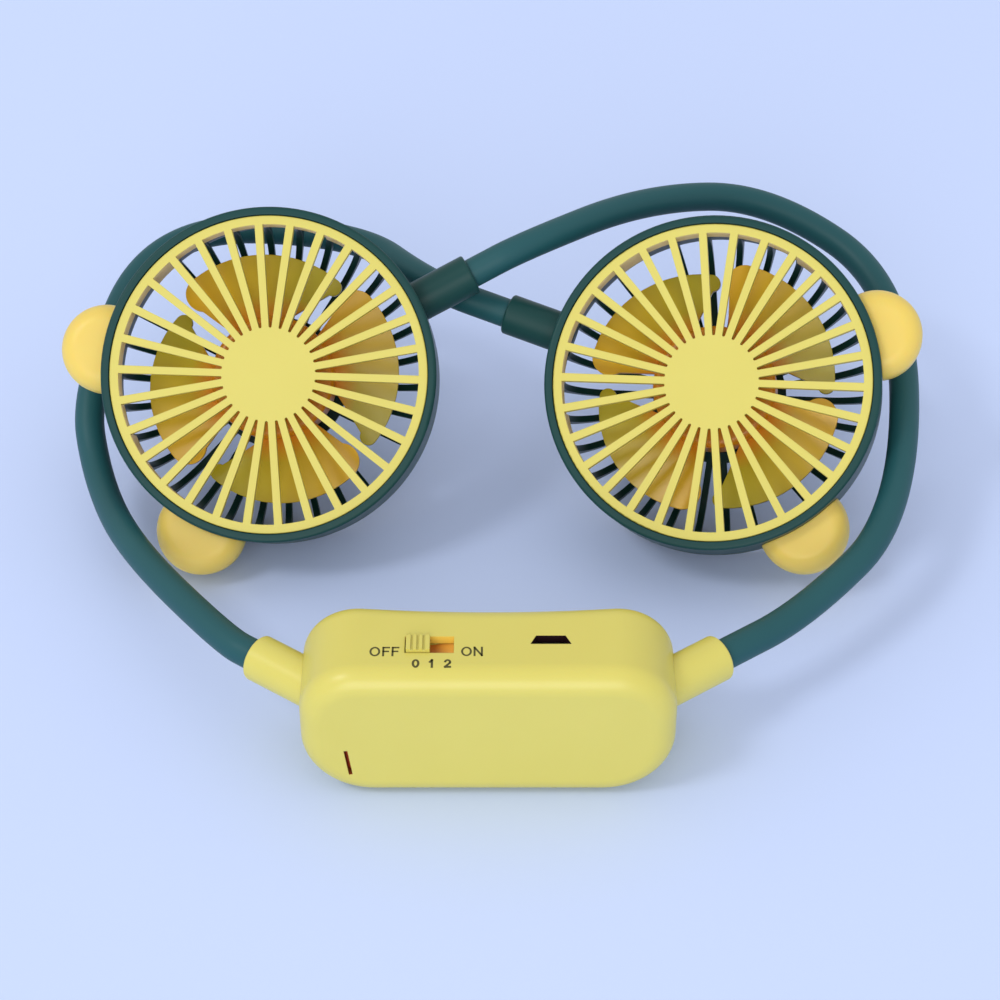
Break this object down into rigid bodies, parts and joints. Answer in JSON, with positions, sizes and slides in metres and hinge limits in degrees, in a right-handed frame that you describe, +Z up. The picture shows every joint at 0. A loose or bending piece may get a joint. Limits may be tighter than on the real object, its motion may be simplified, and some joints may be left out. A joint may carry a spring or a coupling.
{
  "type": "electric neck fan",
  "caption": "Hands-free neck fan: rounded battery box with a speed switch, flexible necks that cross and hold caged fan heads with round ears.",
  "frame": {"origin": "middle of the flat underside of the battery box", "axes": "+X across the object towards the wearer's right-hand collar as seen in the picture, +Y from the box towards the fan heads, +Z up from the table"},
  "size_m": [0.2028, 0.1546, 0.0726],
  "materials": {
    "shell": "satin moulded yellow",
    "grille": "satin moulded yellow",
    "ear": "satin golden yellow",
    "blade": "semi-clear amber yellow",
    "green": "matt dark green",
    "neck": "smooth matt dark green",
    "board": "board green",
    "cell": "shrink sleeve",
    "steel": "plated",
    "bronze": "sintered bronze",
    "light": "clear red"
  },
  "bodies": {
    "box": {"box_shell": "shell", "box_cover": "shell", "cover_screws": "steel", "battery_cell": "cell", "circuit_board": "board", "board_screws": "steel", "switch_body": "steel", "charging_inlet": "steel", "charging_light": "light", "left_collar": "shell", "right_collar": "shell", "left_neck_anchor": "steel", "right_neck_anchor": "steel", "left_neck_root": "neck", "right_neck_root": "neck"},
    "switch_slider": {"switch_knob": "shell"},
    "right_neck_arm": {"right_neck": "neck"},
    "left_neck_arm": {"left_neck": "neck"},
    "left_head": {"left_housing": "green", "left_neck_socket": "green", "left_front_grille": "grille", "left_ear_a": "ear", "left_ear_b": "ear", "left_motor": "steel", "left_motor_bushes": "bronze", "left_motor_screws": "steel"},
    "right_head": {"right_housing": "green", "right_neck_socket": "green", "right_front_grille": "grille", "right_ear_a": "ear", "right_ear_b": "ear", "right_motor": "steel", "right_motor_bushes": "bronze", "right_motor_screws": "steel"},
    "left_fan": {"left_impeller": "blade", "left_motor_shaft": "steel"},
    "right_fan": {"right_impeller": "blade", "right_motor_shaft": "steel"}
  },
  "joints": [
    {"name": "speed_switch", "type": "slide", "parent": "box", "child": "switch_slider", "axis": [1, 0, 0], "range_m": [0, 0.0048]},
    {"name": "right_neck_bend", "type": "hinge", "parent": "box", "child": "right_neck_arm", "pos_m": [0.0685, 0.0235, 0.02], "axis": [0, 1, 0], "range_deg": [0, 35], "deforming": ["right_neck_root"]},
    {"name": "left_neck_bend", "type": "hinge", "parent": "box", "child": "left_neck_arm", "pos_m": [-0.065, 0.0245, 0.0188], "axis": [-0.8984, -0.4392, 0], "range_deg": [0, 30], "deforming": ["left_neck_root"]},
    {"name": "left_head_turn", "type": "hinge", "parent": "right_neck_arm", "child": "left_head", "pos_m": [-0.05107, 0.08797, 0.03572], "axis": [0.8837, 0.3022, 0.3575], "range_deg": [-10, 45]},
    {"name": "right_head_turn", "type": "hinge", "parent": "left_neck_arm", "child": "right_head", "pos_m": [0.05324, 0.08491, 0.03509], "axis": [-0.922, 0.3569, 0.1499], "range_deg": [-45, 10]},
    {"name": "left_fan_spin", "type": "hinge", "parent": "left_head", "child": "left_fan", "pos_m": [-0.05107, 0.08797, 0.03572], "axis": [-0.0194, -0.7394, 0.673], "continuous": true},
    {"name": "right_fan_spin", "type": "hinge", "parent": "right_head", "child": "right_fan", "pos_m": [0.05324, 0.08491, 0.03509], "axis": [-0.1536, -0.6928, 0.7046], "continuous": true}
  ]
}
